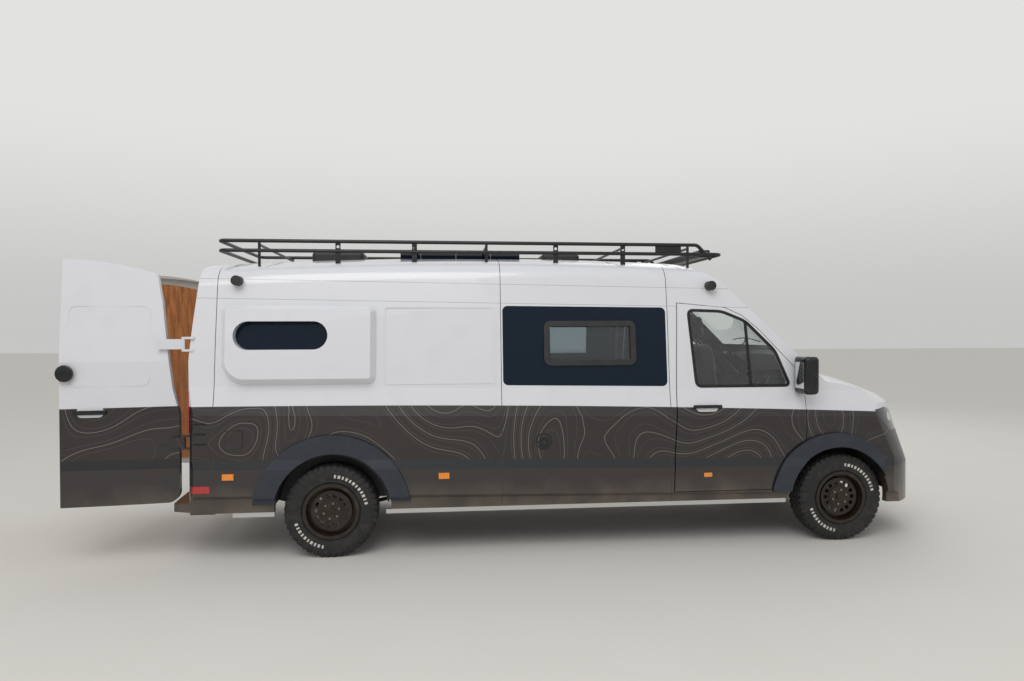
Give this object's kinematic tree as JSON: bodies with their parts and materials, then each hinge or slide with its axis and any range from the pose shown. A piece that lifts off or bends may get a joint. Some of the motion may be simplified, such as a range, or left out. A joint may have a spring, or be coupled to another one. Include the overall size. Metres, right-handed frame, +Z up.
{
  "type": "camper van",
  "caption": "Long high-roof panel van fitted out as a camper, with opening cab doors, rear doors and bonnet, a tube roof rack, bed flares and steered, rolling wheels.",
  "frame": {"origin": "on the ground, at the middle of the length and width of the van with its rear doors standing open", "axes": "+X forward along the van, +Y to its left side, +Z up"},
  "size_m": [7.6023, 2.427, 2.684],
  "materials": {
    "white_paint": "gloss",
    "black_plastic": "satin",
    "dark_glass": "gloss",
    "clear_glass": "gloss",
    "lamp_lens": "gloss",
    "red_lens": "gloss",
    "orange_lens": "gloss",
    "steel": "rough",
    "alloy": "satin",
    "polished": "polished",
    "tyre": "matte",
    "rack_steel": "satin powder coat",
    "wood": "satin",
    "upholstery": "woven",
    "mattress_cover": "woven",
    "floor_board": "matte"
  },
  "bodies": {
    "root": {"arch_liners": "black_plastic", "arch_trims": "black_plastic", "bed_base": "wood", "bed_pods": "white_paint", "cab_frame": "white_paint", "dashboard": "black_plastic", "engine": "steel", "front_bumper": "black_plastic", "front_subframe": "steel", "grille": "black_plastic", "headlamps": "lamp_lens", "kitchen_unit": "wood", "marker_lamps": "orange_lens", "mattress": "mattress_cover", "mid_side_right": "white_paint", "rear_axle": "steel", "rear_bumper": "black_plastic", "rear_frame": "white_paint", "rear_sides": "white_paint", "roof": "white_paint", "roof_rack": "rack_steel", "roof_vents": "black_plastic", "seats": "upholstery", "service_caps": "white_paint", "side_glass": "dark_glass", "sill_bars": "polished", "sliding_door": "white_paint", "solar_panel": "dark_glass", "tail_lamps": "red_lens", "underbody": "floor_board", "window_frames": "black_plastic", "windscreen": "clear_glass", "wings": "white_paint", "work_lamps": "black_plastic"},
    "front_door_right": {"door_right": "white_paint", "door_glass_right": "clear_glass", "mirror_right": "black_plastic"},
    "back_door_right": {"rear_door_right": "white_paint", "rear_lining_right": "wood"},
    "steering_right": {"knuckle_right": "steel"},
    "front_wheel_right": {"wheel_front_right": "alloy", "tyre_front_right": "tyre"},
    "back_wheel_right": {"wheel_rear_right": "alloy", "tyre_rear_right": "tyre"},
    "front_door_left": {"door_left": "white_paint", "door_glass_left": "clear_glass", "mirror_left": "black_plastic"},
    "back_door_left": {"rear_door_left": "white_paint", "rear_lining_left": "wood"},
    "steering_left": {"knuckle_left": "steel"},
    "front_wheel_left": {"wheel_front_left": "alloy", "tyre_front_left": "tyre"},
    "back_wheel_left": {"wheel_rear_left": "alloy", "tyre_rear_left": "tyre"},
    "bonnet_lid": {"bonnet": "white_paint"}
  },
  "joints": [
    {"name": "front_door_right_hinge", "type": "hinge", "parent": "root", "child": "front_door_right", "pos_m": [2.429, -1.03, 1.1], "axis": [0, 0, 1], "range_deg": [0, 70]},
    {"name": "back_door_right_hinge", "type": "hinge", "parent": "root", "child": "back_door_right", "pos_m": [-2.872, -0.929, 1.4], "axis": [0, 0, 1], "range_deg": [-94.5, 85.5]},
    {"name": "steering_right_pivot", "type": "hinge", "parent": "root", "child": "steering_right", "pos_m": [2.8, -0.76, 0.3875], "axis": [0, 0, 1], "range_deg": [-33, 33]},
    {"name": "front_wheel_right_spin", "type": "hinge", "parent": "steering_right", "child": "front_wheel_right", "pos_m": [2.8, -0.8525, 0.3875], "axis": [0, 1, 0], "continuous": true},
    {"name": "back_wheel_right_spin", "type": "hinge", "parent": "root", "child": "back_wheel_right", "pos_m": [-1.69, -0.8525, 0.3875], "axis": [0, 1, 0], "continuous": true},
    {"name": "front_door_left_hinge", "type": "hinge", "parent": "root", "child": "front_door_left", "pos_m": [2.429, 1.03, 1.1], "axis": [0, 0, -1], "range_deg": [0, 70]},
    {"name": "back_door_left_hinge", "type": "hinge", "parent": "root", "child": "back_door_left", "pos_m": [-2.872, 0.929, 1.4], "axis": [0, 0, -1], "range_deg": [-94.5, 85.5]},
    {"name": "steering_left_pivot", "type": "hinge", "parent": "root", "child": "steering_left", "pos_m": [2.8, 0.76, 0.3875], "axis": [0, 0, 1], "range_deg": [-33, 33]},
    {"name": "front_wheel_left_spin", "type": "hinge", "parent": "steering_left", "child": "front_wheel_left", "pos_m": [2.8, 0.8525, 0.3875], "axis": [0, 1, 0], "continuous": true},
    {"name": "back_wheel_left_spin", "type": "hinge", "parent": "root", "child": "back_wheel_left", "pos_m": [-1.69, 0.8525, 0.3875], "axis": [0, 1, 0], "continuous": true},
    {"name": "bonnet_hinge", "type": "hinge", "parent": "root", "child": "bonnet_lid", "pos_m": [2.647, 0, 1.612], "axis": [0, -1, 0], "range_deg": [0, 50]}
  ],
  "couplings": [
    {"joint": "steering_left_pivot", "follows": "steering_right_pivot", "ratio": 1}
  ]
}
